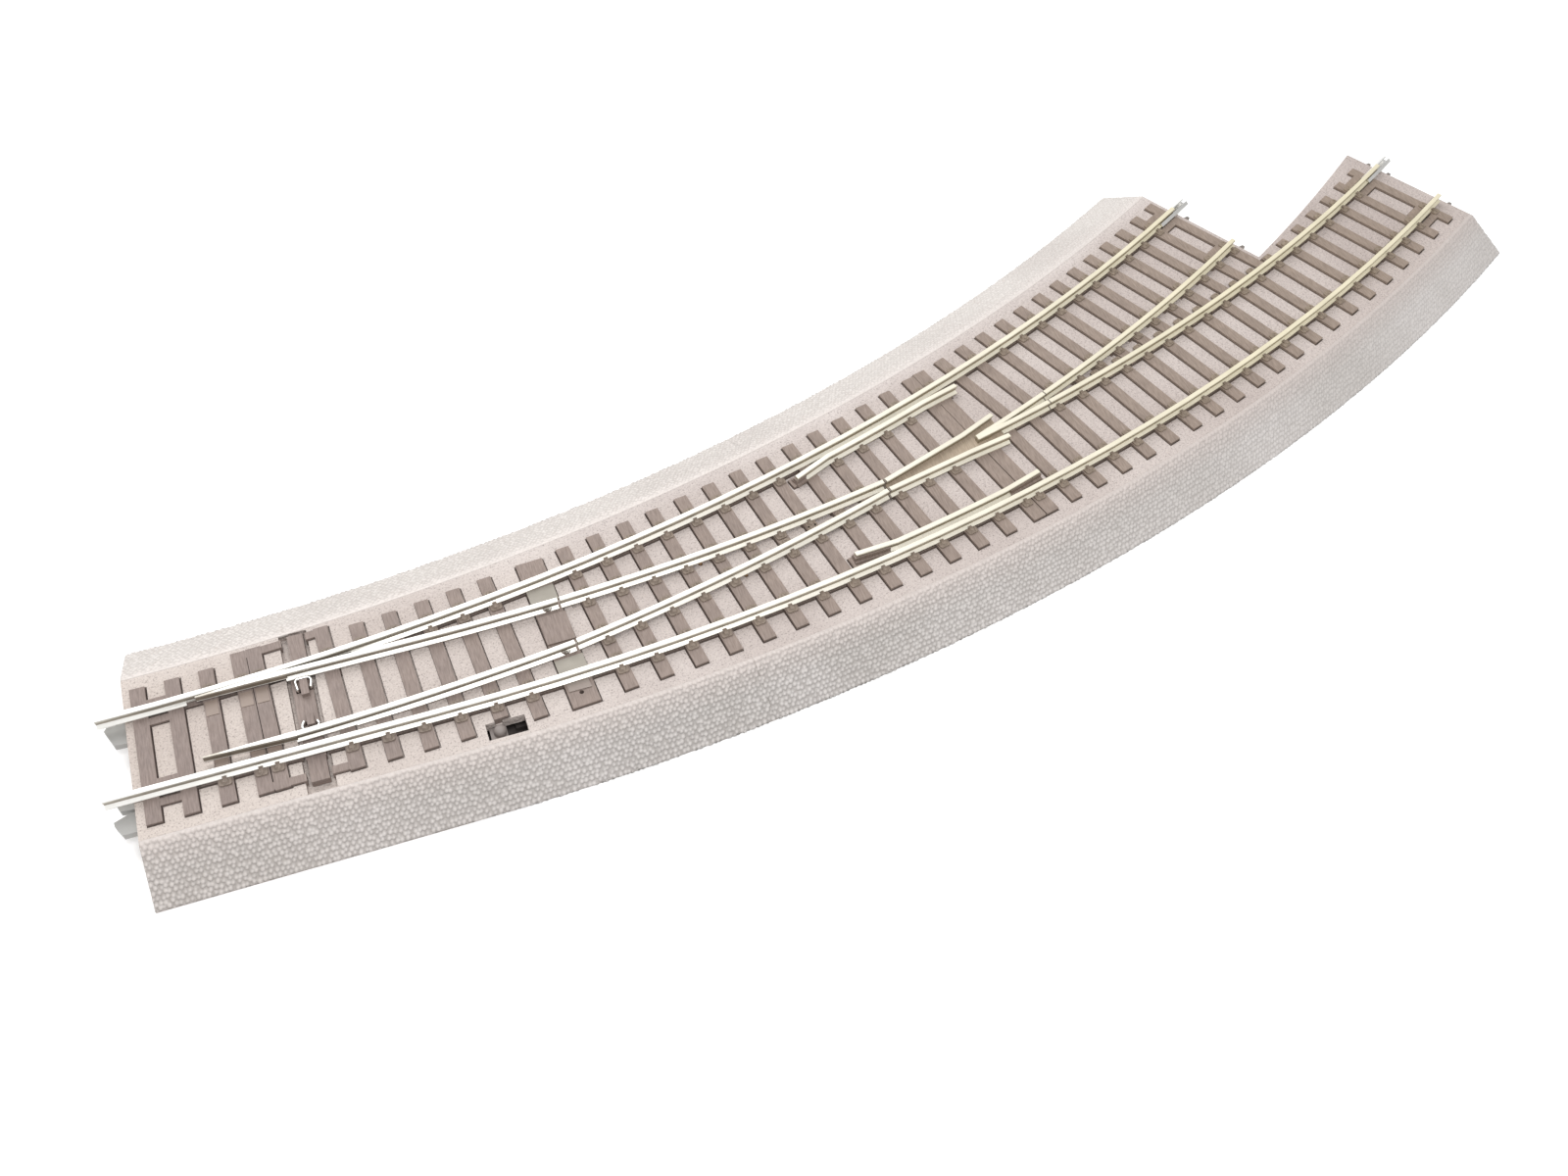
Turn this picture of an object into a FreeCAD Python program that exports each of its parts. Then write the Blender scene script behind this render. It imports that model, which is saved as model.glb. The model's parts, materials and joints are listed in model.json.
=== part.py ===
import FreeCAD, Part
import math
import os

# Curved H0 turnout on moulded ballast bedding, millimetres.
# Every shape is drawn from the start of the inner curve and moved back by RAIL_START,
# so the origin is the middle of the rail ends at the toe, on the plane the bedding
# rests on. +X runs along the track away from the toe, +Y to the inside of the curve.

# ---- driving dimensions -------------------------------------------------
RADIUS = 542.8            # centre-line radius of both routes
CURVE = math.radians(30)  # angle turned by both routes
SPACING = 61.6            # straight length of the outer route before its curve
LEAD_OUT = 2.0            # straight rail end after the curve
RAIL_START = 2.0          # rail ends at the toe, after the start of the inner curve
GAUGE = 16.5
RAIL_TOP = 9.0            # rail head above the resting plane
RAIL_H, HEAD_W, HEAD_H = 2.1, 1.1, 0.55
FOOT_W, FOOT_H, WEB_W = 1.9, 0.35, 0.5
FLANGEWAY = 1.3
RAIL_OFF = GAUGE / 2 + HEAD_W / 2
CHECK_OFF = 6.25          # check rail from the centre line of its route
RAIL_Z = RAIL_TOP - RAIL_H

BED_TOP = 6.4             # ballast surface
BED_FACE = 6.8            # toe end of the bedding
BED_PAST = 1.7            # bedding past the rail ends at the branches
SHOULDER, BED_HALF = 18.2, 28.8
NOTCH_OFF = -16.0         # edge of the inner route's bedding at the notch

SLEEPER_Z = 5.2           # underside of the sleepers
SLEEPER_W, PAIR_W, SLEEPER_HALF = 2.8, 3.2, 15.0
HEEL_BLOCK = (86.9, 22.0), (89.3, -14.7)
HEEL_BLOCK_W = 5.6
BAR_SLEEPERS = (29.4, 32.4, 45.9)
RECESS, RECESS_MIN = 0.30, 0.05   # gaps left along the two sides of a sleeper
TRENCH = 1.45             # half width of the groove in the ballast under a fixed rail

TIP_X, FOOT_X = 20.0, 36.8
HEEL_X = {"C": 89.85, "B": 90.5}   # heel end of the blade in each rail line
HEEL_GAP = 0.5
BLADE_CLEAR = 0.10         # blade to stock rail when closed
BLADE_LIFT = 0.05          # blade foot above the sleepers it slides on
BLADE_TRIM = 0.15          # taken off the edge of the blade foot next to the stock rail
BAR_X, BAR_W, BAR_TRAVEL = 39.0, 3.8, 2.0
BAR_Z0, BAR_Z1 = 4.9, 6.5
BAR_Y0, BAR_Y1 = -15.2, 18.6
PIVOT_P_X, PIVOT_Q_X = 88.0, 89.0
NOTCH_X = {"C": 87.6, "B": 88.5}
PIN_R, RUN_FIT = 0.6, 0.05

CRANK_X, CRANK_Y = 49.0, 1.0
CRANK_ARM, LEVER_ARM = 10.0, 16.0
CRANK_SWING = 2 * math.asin(BAR_TRAVEL / 2 / CRANK_ARM)
KNOB_X, KNOB_Y, KNOB_R, KNOB_TOP = 72.3, -14.6, 1.2, 6.6
HOLE_X0, HOLE_X1, HOLE_Y0, HOLE_Y1 = 69.9, 77.45, -16.6, -12.9

FROG_GAP_X, FROG_END_X = 164.0, 208.3
FLOOR_TOP = 7.55          # flangeway floor inside the frog
FIX_X, FIX_Y, FIX_R = 89.0, -11.75, 0.45
LUG_Z0, LUG_Z1 = 3.5, 5.0

V = FreeCAD.Vector
UP = V(0, 0, 1)


# ---- routes -------------------------------------------------------------
class Route:
    """A centre line: a straight, a left-hand arc and a short straight."""

    def __init__(self, straight):
        self.straight = straight
        self.arc_end = straight + RADIUS * CURVE
        self.end = self.arc_end + LEAD_OUT

    def heading(self, s):
        turned = min(max(s - self.straight, 0.0), RADIUS * CURVE)
        return turned / RADIUS

    def point(self, s, off=0.0, z=0.0):
        a = self.heading(s)
        run = min(s, self.straight)
        x = run + (RADIUS - off) * math.sin(a)
        y = RADIUS - (RADIUS - off) * math.cos(a)
        past = max(s - self.arc_end, 0.0)
        return V(x + past * math.cos(a), y + past * math.sin(a), z)

    def offset_of(self, p):
        if p.x < self.straight:
            return p.y
        dx, dy = p.x - self.straight, RADIUS - p.y
        if math.atan2(dx, dy) <= CURVE:
            return RADIUS - math.hypot(dx, dy)
        end = self.point(self.arc_end)
        left = V(-math.sin(CURVE), math.cos(CURVE), 0)
        return (V(p.x, p.y, 0) - end).dot(left)

    def station_at_x(self, x, off=0.0):
        if x <= self.straight:
            return x
        return self.straight + RADIUS * math.asin((x - self.straight) / (RADIUS - off))

    def spans(self, s0, s1):
        """The stretches of s0..s1 on each side of the tangent points."""
        cuts = [s0] + [c for c in (self.straight, self.arc_end) if s0 < c < s1] + [s1]
        return list(zip(cuts[:-1], cuts[1:]))


INNER, OUTER = Route(0.0), Route(SPACING)
RAILS = {
    "A": (INNER, RAIL_OFF), "B": (INNER, -RAIL_OFF),
    "C": (OUTER, RAIL_OFF), "D": (OUTER, -RAIL_OFF),
}


# ---- shape helpers ------------------------------------------------------
def face(points):
    return Part.Face(Part.makePolygon(points + [points[0]]))


def prism(outline, z0, z1):
    """Upright prism on a plan outline of (x, y) pairs."""
    return face([V(x, y, z0) for x, y in outline]).extrude(V(0, 0, z1 - z0))


def box(x0, x1, y0, y1, z0, z1):
    return Part.makeBox(x1 - x0, y1 - y0, z1 - z0, V(x0, y0, z0))


def rod(x, y, r, z0, z1):
    return Part.makeCylinder(r, z1 - z0, V(x, y, z0), UP)


def joined(shapes):
    shape = shapes[0].fuse(shapes[1:]) if len(shapes) > 1 else shapes[0]
    return shape.removeSplitter()


def sweep(route, profile, s0, s1):
    """Carry a closed (offset, z) profile along a route."""
    pieces = []
    for a, b in route.spans(s0, s1):
        start = face([route.point(a, off, z) for off, z in profile])
        if route.straight <= a and b <= route.arc_end:
            centre = V(route.straight, RADIUS, 0)
            pieces.append(start.revolve(centre, UP, math.degrees((b - a) / RADIUS)))
        else:
            along = route.heading(a)
            pieces.append(start.extrude(V(math.cos(along), math.sin(along), 0) * (b - a)))
    return joined(pieces)


def band(route, off0, off1, s0, s1, z0, z1):
    return sweep(route, [(off0, z0), (off1, z0), (off1, z1), (off0, z1)], s0, s1)


def rail_profile(centre=0.0):
    """Flat-bottomed rail section, from the foot up."""
    f, w, h = FOOT_W / 2, WEB_W / 2, HEAD_W / 2
    shoulder = RAIL_Z + FOOT_H + 0.2
    neck = RAIL_TOP - HEAD_H - 0.15
    half = [
        (f, RAIL_Z), (f, RAIL_Z + 0.22), (w, shoulder), (w, neck),
        (h, RAIL_TOP - HEAD_H + 0.05), (h, RAIL_TOP - 0.12), (h - 0.12, RAIL_TOP),
    ]
    return [(centre + u, z) for u, z in half] + [(centre - u, z) for u, z in reversed(half)]


def rail(name, s0, s1):
    route, off = RAILS[name]
    return sweep(route, rail_profile(off), s0, s1)


def section(p, heading, profile):
    """A profile wire standing square to a heading at p."""
    left = V(-math.sin(heading), math.cos(heading), 0)
    ring = [V(p.x, p.y, 0) + left * u + UP * z for u, z in profile]
    return Part.makePolygon(ring + [ring[0]])


def loft(wires):
    return Part.makeLoft(wires, True, True)


def bent_rail(points):
    """Rail along a polyline, mitred at its bends."""
    bearings = [math.atan2(b.y - a.y, b.x - a.x) for a, b in zip(points[:-1], points[1:])]
    at_points = [bearings[0]]
    at_points += [(a + b) / 2 for a, b in zip(bearings[:-1], bearings[1:])]
    at_points.append(bearings[-1])
    return loft([section(p, h, rail_profile()) for p, h in zip(points, at_points)])


def meet(start, end, route, off):
    """Where the plan line start-end crosses the curve at off from a route."""
    lo, hi = 0.0, 1.0
    rising = route.offset_of(start) < route.offset_of(end)
    for _ in range(50):
        mid = (lo + hi) / 2
        below = route.offset_of(start + (end - start) * mid) < off
        if below == rising:
            lo = mid
        else:
            hi = mid
    return start + (end - start) * lo


def bar(start, end, width, z0, z1, grow=0.0):
    """Straight bar between two plan points, grown by grow on all sides in plan."""
    along = (end - start).normalize()
    side = V(-along.y, along.x, 0) * (width / 2 + grow)
    a, b = start - along * grow, end + along * grow
    ring = [a + side, b + side, b - side, a - side]
    return prism([(p.x, p.y) for p in ring], z0, z1)


def flat(p):
    return V(p.x, p.y, 0)


# ---- sleepers -----------------------------------------------------------
def shared_sleeper(s):
    """Plan line across both routes; those beside the throw bar are longer."""
    longer = 1.8 if s in BAR_SLEEPERS else 0.0
    return INNER.point(s, SLEEPER_HALF + longer), OUTER.point(s, -SLEEPER_HALF)


def sleeper_lines():
    """Every sleeper as (start, end, width)."""
    lines = []
    stations = [9.9, 16.4, 22.9, 29.4, 32.4] + [45.9 + 6.78 * k for k in range(6)]
    stations += [97.5 + 7.13 * k for k in range(13)]
    for s in stations:
        start, end = shared_sleeper(s)
        if HOLE_X0 < end.x < HOLE_X1:
            end = start + (end - start) * ((start.y - HOLE_Y1 - 0.3) / (start.y - end.y))
        lines.append((start, end, SLEEPER_W))
    lines += [(*shared_sleeper(s), PAIR_W) for s in (190.5, 193.9)]
    lines.append((V(*HEEL_BLOCK[0], 0), V(*HEEL_BLOCK[1], 0), HEEL_BLOCK_W))
    for k in range(13):
        near, far = INNER.point(200.6 + 7.03 * k, SLEEPER_HALF), INNER.point(200.6 + 7.03 * k, -40)
        kink = meet(near, far, OUTER, RAIL_OFF - 1.0)
        lines.append((near, kink, SLEEPER_W))
        s = 200.6 + 7.28 * k
        lines.append((OUTER.point(s, RAIL_OFF + 1.0), OUTER.point(s, -SLEEPER_HALF), SLEEPER_W))
    for k in range(7):
        s = 295.8 + 7.9 * k
        edge = min(SLEEPER_HALF, -1.0 + outer_edge_offset(s))
        lines.append((OUTER.point(s, edge), OUTER.point(s, -SLEEPER_HALF), SLEEPER_W))
    return lines


def outer_edge_offset(s):
    """Offset on the outer route of the notch wall, which follows the inner route."""
    a, b = OUTER.point(s, 0), OUTER.point(s, 40)
    return OUTER.offset_of(meet(a, b, Route(0.0), NOTCH_OFF))


def strip_lines():
    """Lengthwise strips: (route, low offset, high offset, start, end)."""
    strips = []
    for route, side, ends in ((INNER, 1, (9.9, 16.4)), (OUTER, -1, (9.9, 16.4))):
        strips.append((route, side * 5.9, side * 7.4, *ends))
        strips.append((route, side * 10.2, side * 11.7, *ends))
    last_in, last_out = 200.6 + 7.03 * 12, 295.8 + 7.9 * 6
    for route, last, pitch in ((INNER, last_in, 7.03), (OUTER, last_out, 7.9)):
        for off in (6.7, 11.1, -6.7, -11.1):
            if route is INNER and off < -10:
                continue
            strips.append((route, off - 0.9, off + 0.9, last - pitch, last))
    strips.append((INNER, 14.9, 16.6, 30.0, 45.4))
    strips.append((OUTER, -14.8, -13.2, 30.0, 45.4))
    return strips


def check_bases():
    """Strips under the flared tips of the check rails."""
    return [
        (INNER, 4.3, 6.6, 148.6, 154.0), (INNER, 4.6, 6.8, 190.0, 195.0),
        (OUTER, -7.0, -4.3, 149.2, 158.5), (OUTER, -7.2, -4.6, 188.5, 197.8),
    ]


def runners():
    """Thin strips under the stock rails that hold the grid together."""
    return [
        (INNER, RAIL_OFF - 0.8, RAIL_OFF + 0.8, 8.6, INNER.end - 2.0),
        (OUTER, -RAIL_OFF - 0.8, -RAIL_OFF + 0.8, 8.6, OUTER.end - 4.0),
        (OUTER, RAIL_OFF - 0.8, RAIL_OFF + 0.8, 196.0, OUTER.end - 4.0),
    ]


def links(grow):
    """Bridges under the throw bar that join the two halves of the grid."""
    shapes = []
    for y0, y1 in ((7.3, 8.7), (12.6, 14.0)):
        shapes.append(box(31.4 - grow, 46.6 + grow, y0 - grow, y1 + grow, 3.8 - grow, 4.5))
        for x in (31.4, 45.4):
            shapes.append(box(x - grow, x + 1.2 + grow, y0 - grow, y1 + grow, 4.0, SLEEPER_Z + 0.3))
    return shapes


def strips(grow, z0, top):
    shapes = []
    for route, a, b, s0, s1 in strip_lines() + check_bases():
        lo, hi = min(a, b), max(a, b)
        shapes.append(band(route, lo - grow, hi + grow, s0 - grow, s1 + grow, z0, top))
    return shapes


def sleeper_pocket(start, end, width):
    """Hole for a sleeper, wider on the side away from the heel block and at the near end."""
    low = high = RECESS
    if width < HEEL_BLOCK_W:
        low, high = (RECESS_MIN, RECESS) if start.x < HEEL_BLOCK[0][0] else (RECESS, RECESS_MIN)
    along = (end - start).normalize()
    side = V(-along.y, along.x, 0)
    a, b = flat(start) - along * 0.1, flat(end) + along * RECESS
    ring = [a + side * (width / 2 + high), b + side * (width / 2 + high),
            b - side * (width / 2 + low), a - side * (width / 2 + low)]
    return prism([(p.x, p.y) for p in ring], SLEEPER_Z, 12)


def rail_trenches():
    """Grooves that keep the ballast clear of the fixed rails."""
    spans = [
        ("A", 8.6, INNER.end - 2.0), ("D", 8.6, OUTER.end - 4.0),
        ("B", 93.0, 168.0), ("B", 206.0, INNER.end - 2.0),
        ("C", 93.0, 168.0), ("C", 195.9, OUTER.end - 4.0),
    ]
    shapes = []
    for name, s0, s1 in spans:
        route, off = RAILS[name]
        shapes.append(band(route, off - TRENCH, off + TRENCH, s0, s1, SLEEPER_Z, 12))
    return shapes


def bar_channel(side, near, far):
    """Space the throw bar slides in, open at the ballast surface."""
    half = BAR_W / 2 + side
    y0, y1 = BAR_Y0 - BAR_TRAVEL - near, BAR_Y1 + far
    return box(BAR_X - half, BAR_X + half, y0, y1, BAR_Z0 - 0.3, 12)


def check_supports():
    """Plastic blocks that carry the bent ends of the check rails."""
    ends = (
        (OUTER, -1, 150.0, 5.35, 158.0), (OUTER, -1, 197.4, 5.8, 188.8), (INNER, 1, 149.3, 5.0, 152.0),
    )
    rails = [check_rail_inner(), check_rail_outer()]
    blocks = []
    for route, side, tip, tip_off, root in ends:
        root_off = CHECK_OFF if route is OUTER else 5.3
        a, b = flat(route.point(tip, side * tip_off)), flat(route.point(root, side * root_off))
        wide, tall = bar(a, b, 2.3, RAIL_Z - 0.2, RAIL_Z + 0.45), bar(a, b, 1.2, RAIL_Z, RAIL_TOP - 0.7)
        blocks += wide.fuse(tall).cut(rails).Solids
    return blocks


def sleeper_grid():
    solids = [bar(flat(a), flat(b), w, SLEEPER_Z, RAIL_Z) for a, b, w in sleeper_lines()]
    solids += strips(0.0, SLEEPER_Z, RAIL_Z)
    solids += [band(*runner, SLEEPER_Z, SLEEPER_Z + 0.9) for runner in runners()]
    grid = joined(solids).cut(bar_channel(0.4, 0.1, 0.4))
    grid = joined([grid] + links(0.0) + check_supports())
    cuts = [frog_floor_block(0.0, RAIL_Z), rod(FIX_X, FIX_Y, FIX_R, 0, 12)]
    cuts += [rod(p.x, p.y, PIN_R + RUN_FIT, 0, 12) for p in blade_pivots()]
    cuts.append(box(HOLE_X0 - 0.2, HOLE_X1 + 0.2, HOLE_Y0 - 0.2, HOLE_Y1 + 0.2, 0, 12))
    cuts += [rod(p.x, p.y, JUMPER_PIN_R + 0.1, 0, 12) for a, b in jumper_lines() for p in (a, b)]
    return grid.cut(cuts)


# ---- bedding ------------------------------------------------------------
POCKET = (36.5, 82.5, -18.2, 6.0)       # mechanism space under the track
POCKET_TOP = 4.1
TRAY_RIM, TRAY_Z0, TRAY_Z1 = 2.6, 0.3, 1.2
TRAY_SCREW_R, TRAY_HEAD_R, SCREW_TOP = 0.6, 1.1, 3.3
JUMPER_PIN_R, JUMPER_W = 0.35, 1.2


def bedding_blank():
    slope = [(0, 0), (BED_HALF, 0), (SHOULDER, BED_TOP), (0, BED_TOP)]
    end_in, end_out = INNER.end + BED_PAST, OUTER.end + BED_PAST
    inner_side = sweep(INNER, slope, 0.0, end_in)
    core = band(INNER, NOTCH_OFF, 0.0, 0.0, end_in, 0, BED_TOP)
    outer = [(-u, z) for u, z in slope[1:3]] + [(30.0, BED_TOP), (30.0, 0)]
    outer_side = sweep(OUTER, outer, 0.0, end_out)
    outer_side = outer_side.cut(rod(0, RADIUS, RADIUS - NOTCH_OFF, -1, 12))
    toe = box(-20, BED_FACE, -60, 60, -1, 12)
    return joined([inner_side, core, outer_side]).cut(toe)


def tray_plan(grow):
    x0, x1, y0, y1 = POCKET
    return x0 - TRAY_RIM - grow, x1 + TRAY_RIM + grow, y0 - TRAY_RIM - grow, y1 + TRAY_RIM + grow


def screw_points():
    x0, x1, y0, y1 = POCKET
    half = TRAY_RIM / 2
    return [(x, y) for x in (x0 - half, x1 + half) for y in (y0 - half, y1 + half)]


def ballast_bedding():
    cuts = [sleeper_pocket(*line) for line in sleeper_lines()] + rail_trenches()
    cuts += strips(0.2, SLEEPER_Z, 12) + links(0.15)
    cuts += toe_lugs().Solids + branch_lugs().Solids
    cuts += [bar_channel(0.8, 0.2, 0.7), box(*POCKET, -1, POCKET_TOP), box(*tray_plan(0.1), -1, TRAY_Z1)]
    cuts.append(box(HOLE_X0, HOLE_X1, HOLE_Y0, HOLE_Y1, 0, 12))
    cuts.append(frog_floor_block(0.1, 12))
    reach = CRANK_ARM * math.sin(CRANK_SWING / 2) + 1.4
    cuts.append(box(BAR_X - 1.4, BAR_X + 1.5, CRANK_Y - reach, CRANK_Y + reach, 0, 12))
    cuts.append(rod(FIX_X, FIX_Y, FIX_R, -1, 12))
    cuts += [rod(x, y, TRAY_SCREW_R + 0.02, -1, SCREW_TOP + 0.3) for x, y in screw_points()]
    for a, b in jumper_lines():
        cuts.append(bar(a, b, JUMPER_W + 0.4, -1, 1.6, JUMPER_PIN_R + 0.5))
        cuts += [rod(p.x, p.y, JUMPER_PIN_R + 0.1, -1, 12) for p in (a, b)]
    return bedding_blank().cut(cuts)


# ---- stock and branch rails ---------------------------------------------
def foot_relief(route, off, side):
    """Inner foot of a stock rail, planed away where the blade lies against it."""
    near, far = off + side * (WEB_W / 2 + 0.02), off + side * (FOOT_W / 2 + 0.1)
    return band(route, min(near, far), max(near, far), 18.4, 50.0, RAIL_Z - 0.1, RAIL_Z + 0.65)


def stock_rail(name):
    route, off = RAILS[name]
    side = -1 if off > 0 else 1
    start = route.station_at_x(RAIL_START, off)
    return rail(name, start, route.end).cut(foot_relief(route, off, side))


def closure_rail(name):
    route, off = RAILS[name]
    s0 = route.station_at_x(HEEL_X[name] + HEEL_GAP, off)
    return rail(name, s0, route.station_at_x(FROG_GAP_X - 0.3, off))


def branch_rail(name):
    route, off = RAILS[name]
    return rail(name, route.station_at_x(FROG_END_X + 0.3, off), route.end)


# ---- switch blades ------------------------------------------------------
def blade_pivots():
    p = OUTER.point(OUTER.station_at_x(PIVOT_P_X, RAIL_OFF), RAIL_OFF)
    q = INNER.point(INNER.station_at_x(PIVOT_Q_X, -RAIL_OFF), -RAIL_OFF)
    return p, q


def blade(name, stock, side):
    """Blade in its closed place, planed to lie against the stock rail.

    side is +1 where the stock rail is on the +Y side of the blade."""
    route, off = RAILS[name]
    stock_route, stock_off = RAILS[stock]
    plate = []
    for k in range(7):
        x = TIP_X + (FOOT_X - TIP_X) * k / 6
        gauge = route.point(route.station_at_x(x, off), off - side * HEAD_W / 2)
        back = stock_route.point(
            stock_route.station_at_x(x, stock_off), stock_off - side * (HEAD_W / 2 + BLADE_CLEAR))
        thick = min(abs(back.y - gauge.y), HEAD_W)
        top = RAIL_TOP - 0.25 * max(0.0, 1 - k / 3)
        ring = [(0, RAIL_Z + 0.4), (side * thick, RAIL_Z + 0.4), (side * thick, top), (0, top)]
        plate.append(section(V(x, gauge.y, 0), 0.0, ring))
    full = rail(name, route.station_at_x(FOOT_X - 0.3, off), route.station_at_x(HEEL_X[name], off))
    under = box(0, 120, -40, 60, RAIL_Z - 1, RAIL_Z + BLADE_LIFT)
    near, far = off + side * (FOOT_W / 2 - BLADE_TRIM), off + side * FOOT_W
    trim = band(route, min(near, far), max(near, far), FOOT_X - 1, FOOT_X + 10, RAIL_Z - 1, RAIL_Z + 0.4)
    return joined([loft(plate), full.cut(trim)]).cut([under, heel_notch(name)])


def notch_centre(name):
    route, off = RAILS[name]
    return route.point(route.station_at_x(NOTCH_X[name], off), off)


def heel_notch(name):
    """Half round bite in the outer foot of a blade, round its locating pin."""
    p = notch_centre(name)
    outer_half = box(p.x - 3, p.x + 3, p.y - 3, p.y - WEB_W / 2 - 0.02, RAIL_Z - 1, RAIL_Z + 0.65)
    return rod(p.x, p.y, 1.05, RAIL_Z - 1, RAIL_Z + 0.65).common(outer_half)


def q_rest_turn():
    """How far the inner-route blade stands open from its closed place, in degrees."""
    reach = blade_pivots()[1].x - BAR_X
    return -math.degrees(math.asin(BAR_TRAVEL / reach))


def blade_p():
    return blade("C", "A", 1)


def blade_q():
    shape = blade("B", "D", -1)
    shape.rotate(blade_pivots()[1], UP, q_rest_turn())
    return shape


PRONG_R = 0.32
LOOP_Z = RAIL_Z + 0.3
# plan of each wire at rest, x from the middle of the bar, from one end to the other
LOOP_P = [(-0.85, 5.2), (-0.98, 6.2), (-1.05, 7.0), (-0.85, 7.55), (1.5, 7.55), (1.85, 6.9),
          (1.85, 6.2), (1.6, 5.35)]
LOOP_Q = [(-0.85, -2.35), (-1.2, -2.9), (-1.3, -3.5), (-1.05, -4.14), (1.45, -4.0), (1.8, -3.7),
          (1.75, -3.3), (1.55, -2.75)]


def blade_loop(plan):
    """U-shaped wire on the blade foot, its ends turned down into the bar."""
    path = [V(BAR_X + dx, y, LOOP_Z) for dx, y in plan]
    path = [V(path[0].x, path[0].y, BAR_Z0 + 0.5)] + path + [V(path[-1].x, path[-1].y, BAR_Z0 + 0.5)]
    parts = []
    for a, b in zip(path[:-1], path[1:]):
        parts.append(Part.makeCylinder(PRONG_R, (b - a).Length, a, b - a))
    parts += [Part.makeSphere(PRONG_R, p) for p in path[1:-1]]
    return joined(parts)


def pivot_rivet(p):
    return rod(p.x, p.y, PIN_R, SLEEPER_Z + 0.1, RAIL_Z + BLADE_LIFT)


# ---- throw bar ----------------------------------------------------------
def throw_bar():
    half = BAR_W / 2
    shape = joined([
        box(BAR_X - half, BAR_X + half, BAR_Y0 + 5.0, BAR_Y1 - 6.0, BAR_Z0, BAR_Z1),
        box(BAR_X - half + 0.2, BAR_X + half - 0.2, BAR_Y0, BAR_Y0 + 5.0, BAR_Z0, BAR_Z1),
        box(BAR_X - half + 0.75, BAR_X + half, BAR_Y1 - 6.0, BAR_Y1, BAR_Z0, BAR_Z1),
        box(BAR_X - 0.3, BAR_X + 1.15, 3.6, 7.1, BAR_Z1 - 0.1, RAIL_Z + 0.7),
        box(BAR_X - 0.3, BAR_X + 1.05, -3.4, -1.0, BAR_Z1 - 0.1, RAIL_Z + 0.7),
    ])
    cuts = []
    for dx, y in (LOOP_P[0], LOOP_P[-1], LOOP_Q[0], LOOP_Q[-1]):
        x, gap = BAR_X + dx, PRONG_R + 0.12
        cuts.append(box(x - gap, x + gap + 0.12, y - gap, y + gap, BAR_Z0 - 1, 12))
    y = CRANK_Y + BAR_TRAVEL / 2
    slot = CRANK_PIN_R + RUN_FIT
    cuts.append(box(BAR_X - 1.0, BAR_X + 1.1, y - slot, y + slot, BAR_Z0 - 1, BAR_Z1 - 0.4))
    return shape.cut(cuts)


# ---- frog ---------------------------------------------------------------
def wing_path(name, over, past_off, end):
    """Plan of a rail that bends away from its own line to run beside the point."""
    route, off = RAILS[name]
    start = route.point(route.station_at_x(FROG_GAP_X + 0.3, off), off)
    knuckle = over.point(over.station_at_x(185.5, past_off), past_off)
    return [start, knuckle, V(*end, 0)]


WING_UPPER = wing_path("C", INNER, -RAIL_OFF + HEAD_W + FLANGEWAY, (194.2, 29.6))
WING_LOWER = wing_path("B", OUTER, RAIL_OFF - HEAD_W - FLANGEWAY, (195.5, 22.8))


def frog_floor_block(grow, top):
    """Filling between the wing rails, let into the sleepers."""
    ring = [(p.x, p.y - 0.2 + grow) for p in WING_UPPER]
    ring += [(p.x, p.y + 0.2 - grow) for p in reversed(WING_LOWER)]
    return prism(ring, BED_TOP - 0.3, top)


def frog_floor():
    block = frog_floor_block(0.0, FLOOR_TOP)
    return block.cut([bent_rail(WING_UPPER), bent_rail(WING_LOWER), frog_nose()])


def frog_nose():
    """Solid point with the two rails that leave it."""
    ends = [(INNER, -RAIL_OFF), (OUTER, RAIL_OFF)]
    rails = []
    for route, off in ends:
        s0, s1 = (route.station_at_x(x, off) for x in (188.3, FROG_END_X))
        rails.append(sweep(route, rail_profile(off), s0, s1))
    half = HEAD_W / 2
    upper = INNER.point(INNER.station_at_x(192.0, -RAIL_OFF), -RAIL_OFF + half)
    lower = OUTER.point(OUTER.station_at_x(192.0, RAIL_OFF), RAIL_OFF - half)
    b, c = (route.point(route.station_at_x(188.3, off), off) for route, off in ends)
    low, high = min(b.y, c.y) - 0.45, max(b.y, c.y) + 0.45
    plan = [(b.x, low), (lower.x, lower.y), (upper.x, upper.y), (b.x, high)]
    return joined(rails + [prism(plan, RAIL_Z, RAIL_TOP - 0.05)])


def rail_insulators():
    """Thin plastic spacers in the four gaps round the frog."""
    shapes = []
    for name, x in (("C", FROG_GAP_X), ("B", FROG_GAP_X), ("B", FROG_END_X), ("C", FROG_END_X)):
        route, off = RAILS[name]
        s = route.station_at_x(x, off) + (0.04 if x == FROG_GAP_X else 0.18)
        shapes.append(rail(name, s - 0.09, s + 0.09))
    return Part.makeCompound(shapes)


def check_rail(route, side, s0, s1, flare0, flare1):
    """Check rail with both ends bent away from the running rail."""
    off, bend = side * CHECK_OFF, 9.5
    middle = sweep(route, rail_profile(off), s0 + bend, s1 - bend)
    ends = []
    for s, tip, flare in ((s0 + bend, s0, flare0), (s1 - bend, s1, flare1)):
        root = section(route.point(s, off), route.heading(s), rail_profile())
        tip_section = section(route.point(tip, side * flare), route.heading(tip), rail_profile())
        ends.append(loft([root, tip_section]))
    return joined([middle] + ends)


def check_rail_inner():
    return check_rail(INNER, 1, 149.6, 196.4, 5.0, 5.6)


def check_rail_outer():
    return check_rail(OUTER, -1, 150.3, 197.1, 5.2, 5.7)


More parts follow.
